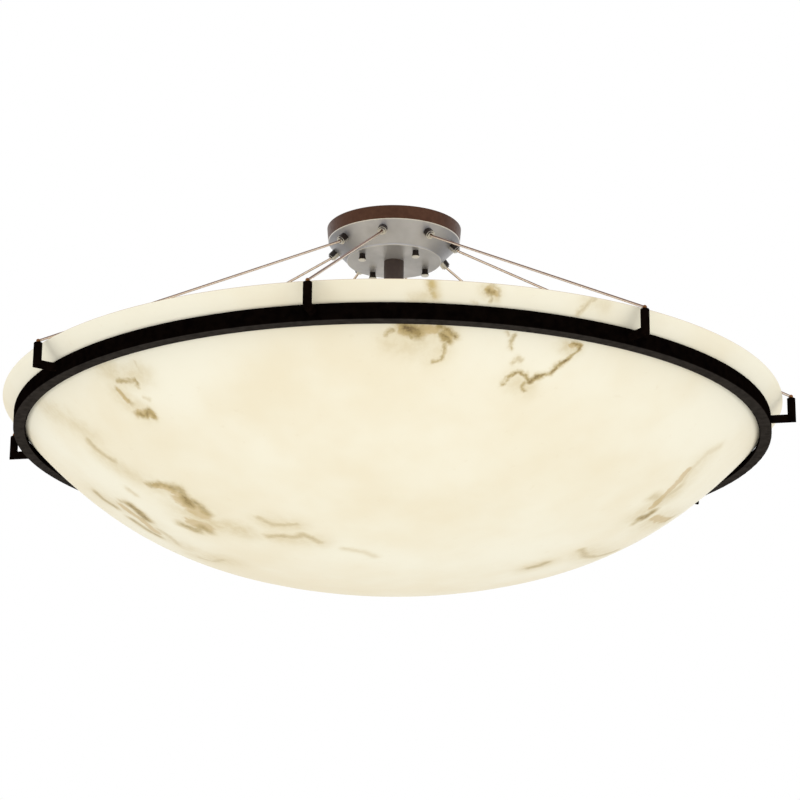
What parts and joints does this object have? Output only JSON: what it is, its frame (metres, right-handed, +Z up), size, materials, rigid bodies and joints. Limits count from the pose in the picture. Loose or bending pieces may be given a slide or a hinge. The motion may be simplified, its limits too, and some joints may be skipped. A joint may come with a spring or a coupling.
{
  "type": "semi-flush ceiling light",
  "caption": "Wide shallow marbled bowl in a dark steel ring, hung by taut cables from a stepped round ceiling canopy, with lamps on a central stem.",
  "frame": {"origin": "on the ceiling, at the centre of the mounting plate's top face, midway between its two box-screw holes", "axes": "+Z up out of the fixture into the ceiling; the two box-screw holes lie along X; the arms, grips and cables stand at every 45 degrees from +X"},
  "size_m": [1.2592, 1.2592, 0.5791],
  "materials": {
    "bowl": "marbled cream resin, satin gloss, letting some light through",
    "dark_bronze": "dark bronze, satin",
    "brown_bronze": "reddish-brown bronze, satin",
    "satin_nickel": "satin grey metal",
    "bright_steel": "polished",
    "cable_steel": "stranded wire rope",
    "zinc_steel": "zinc plated",
    "ground_green": "green earth screw",
    "white_enamel": "white enamel",
    "porcelain": "glazed white",
    "brass": "plain",
    "lamp_cap": "rolled thread",
    "frosted_glass": "frosted"
  },
  "bodies": {
    "fixture": {"arm_screws": "zinc_steel", "bowl_ring": "dark_bronze", "cable_anchors": "bright_steel", "cable_grips": "dark_bronze", "canopy_band": "brown_bronze", "canopy_cone": "satin_nickel", "canopy_plate": "satin_nickel", "centre_contacts": "brass", "finial_nut": "white_enamel", "grip_nipples": "zinc_steel", "ground_screw": "ground_green", "holder_nipples": "zinc_steel", "holder_nuts": "zinc_steel", "hub_cover": "white_enamel", "lamp_hub": "white_enamel", "lampholders": "porcelain", "mounting_plate": "zinc_steel", "mounting_studs": "zinc_steel", "ring_arms": "dark_bronze", "rod_locknut": "zinc_steel", "rod_washer": "zinc_steel", "screw_shells": "brass", "stem_tube": "dark_bronze", "stud_nuts": "zinc_steel", "suspension_cables": "cable_steel", "tie_rod": "zinc_steel"},
    "thumb_nut_1": {"thumb_nut_1": "dark_bronze"},
    "thumb_nut_2": {"thumb_nut_2": "dark_bronze"},
    "thumb_nut_3": {"thumb_nut_3": "dark_bronze"},
    "thumb_nut_4": {"thumb_nut_4": "dark_bronze"},
    "grip_release_1": {"grip_plunger_1": "bright_steel"},
    "lamp_1": {"lamp_cap_1": "lamp_cap", "lamp_globe_1": "frosted_glass"},
    "grip_release_2": {"grip_plunger_2": "bright_steel"},
    "lamp_2": {"lamp_cap_2": "lamp_cap", "lamp_globe_2": "frosted_glass"},
    "grip_release_3": {"grip_plunger_3": "bright_steel"},
    "lamp_3": {"lamp_cap_3": "lamp_cap", "lamp_globe_3": "frosted_glass"},
    "grip_release_4": {"grip_plunger_4": "bright_steel"},
    "lamp_4": {"lamp_cap_4": "lamp_cap", "lamp_globe_4": "frosted_glass"},
    "grip_release_5": {"grip_plunger_5": "bright_steel"},
    "lamp_5": {"lamp_cap_5": "lamp_cap", "lamp_globe_5": "frosted_glass"},
    "grip_release_6": {"grip_plunger_6": "bright_steel"},
    "lamp_6": {"lamp_cap_6": "lamp_cap", "lamp_globe_6": "frosted_glass"},
    "grip_release_7": {"grip_plunger_7": "bright_steel"},
    "lamp_7": {"lamp_cap_7": "lamp_cap", "lamp_globe_7": "frosted_glass"},
    "grip_release_8": {"grip_plunger_8": "bright_steel"},
    "lamp_8": {"lamp_cap_8": "lamp_cap", "lamp_globe_8": "frosted_glass"},
    "bowl_shell": {"bowl": "bowl"}
  },
  "joints": [
    {"name": "thumb_nut_1_turn", "type": "hinge", "parent": "fixture", "child": "thumb_nut_1", "pos_m": [0.04313, 0.04313, -0.0605], "axis": [0, 0, 1], "continuous": true},
    {"name": "thumb_nut_2_turn", "type": "hinge", "parent": "fixture", "child": "thumb_nut_2", "pos_m": [-0.04313, 0.04313, -0.0605], "axis": [0, 0, 1], "continuous": true},
    {"name": "thumb_nut_3_turn", "type": "hinge", "parent": "fixture", "child": "thumb_nut_3", "pos_m": [-0.04313, -0.04313, -0.0605], "axis": [0, 0, 1], "continuous": true},
    {"name": "thumb_nut_4_turn", "type": "hinge", "parent": "fixture", "child": "thumb_nut_4", "pos_m": [0.04313, -0.04313, -0.0605], "axis": [0, 0, 1], "continuous": true},
    {"name": "grip_release_1_press", "type": "slide", "parent": "fixture", "child": "grip_release_1", "axis": [-0.7186, 0, 0.6954], "range_m": [0, 0.0015], "stiffness_N_per_m": 400},
    {"name": "grip_release_2_press", "type": "slide", "parent": "fixture", "child": "grip_release_2", "axis": [-0.5081, -0.5081, 0.6954], "range_m": [0, 0.0015], "stiffness_N_per_m": 400},
    {"name": "grip_release_3_press", "type": "slide", "parent": "fixture", "child": "grip_release_3", "axis": [0, -0.7186, 0.6954], "range_m": [0, 0.0015], "stiffness_N_per_m": 400},
    {"name": "grip_release_4_press", "type": "slide", "parent": "fixture", "child": "grip_release_4", "axis": [0.5081, -0.5081, 0.6954], "range_m": [0, 0.0015], "stiffness_N_per_m": 400},
    {"name": "grip_release_5_press", "type": "slide", "parent": "fixture", "child": "grip_release_5", "axis": [0.7186, 0, 0.6954], "range_m": [0, 0.0015], "stiffness_N_per_m": 400},
    {"name": "grip_release_6_press", "type": "slide", "parent": "fixture", "child": "grip_release_6", "axis": [0.5081, 0.5081, 0.6954], "range_m": [0, 0.0015], "stiffness_N_per_m": 400},
    {"name": "grip_release_7_press", "type": "slide", "parent": "fixture", "child": "grip_release_7", "axis": [0, 0.7186, 0.6954], "range_m": [0, 0.0015], "stiffness_N_per_m": 400},
    {"name": "grip_release_8_press", "type": "slide", "parent": "fixture", "child": "grip_release_8", "axis": [-0.5081, 0.5081, 0.6954], "range_m": [0, 0.0015], "stiffness_N_per_m": 400},
    {"name": "lamp_1_turn", "type": "hinge", "parent": "fixture", "child": "lamp_1", "pos_m": [0.07391, 0.03061, -0.402], "axis": [0.9239, 0.3827, 0], "continuous": true},
    {"name": "lamp_2_turn", "type": "hinge", "parent": "fixture", "child": "lamp_2", "pos_m": [0.03061, 0.07391, -0.402], "axis": [0.3827, 0.9239, 0], "continuous": true},
    {"name": "lamp_3_turn", "type": "hinge", "parent": "fixture", "child": "lamp_3", "pos_m": [-0.03061, 0.07391, -0.402], "axis": [-0.3827, 0.9239, 0], "continuous": true},
    {"name": "lamp_4_turn", "type": "hinge", "parent": "fixture", "child": "lamp_4", "pos_m": [-0.07391, 0.03061, -0.402], "axis": [-0.9239, 0.3827, 0], "continuous": true},
    {"name": "lamp_5_turn", "type": "hinge", "parent": "fixture", "child": "lamp_5", "pos_m": [-0.07391, -0.03061, -0.402], "axis": [-0.9239, -0.3827, 0], "continuous": true},
    {"name": "lamp_6_turn", "type": "hinge", "parent": "fixture", "child": "lamp_6", "pos_m": [-0.03061, -0.07391, -0.402], "axis": [-0.3827, -0.9239, 0], "continuous": true},
    {"name": "lamp_7_turn", "type": "hinge", "parent": "fixture", "child": "lamp_7", "pos_m": [0.03061, -0.07391, -0.402], "axis": [0.3827, -0.9239, 0], "continuous": true},
    {"name": "lamp_8_turn", "type": "hinge", "parent": "fixture", "child": "lamp_8", "pos_m": [0.07391, -0.03061, -0.402], "axis": [0.9239, -0.3827, 0], "continuous": true},
    {"name": "bowl_turn", "type": "hinge", "parent": "fixture", "child": "bowl_shell", "pos_m": [0, 0, -0.3382], "axis": [0, 0, 1], "continuous": true}
  ]
}
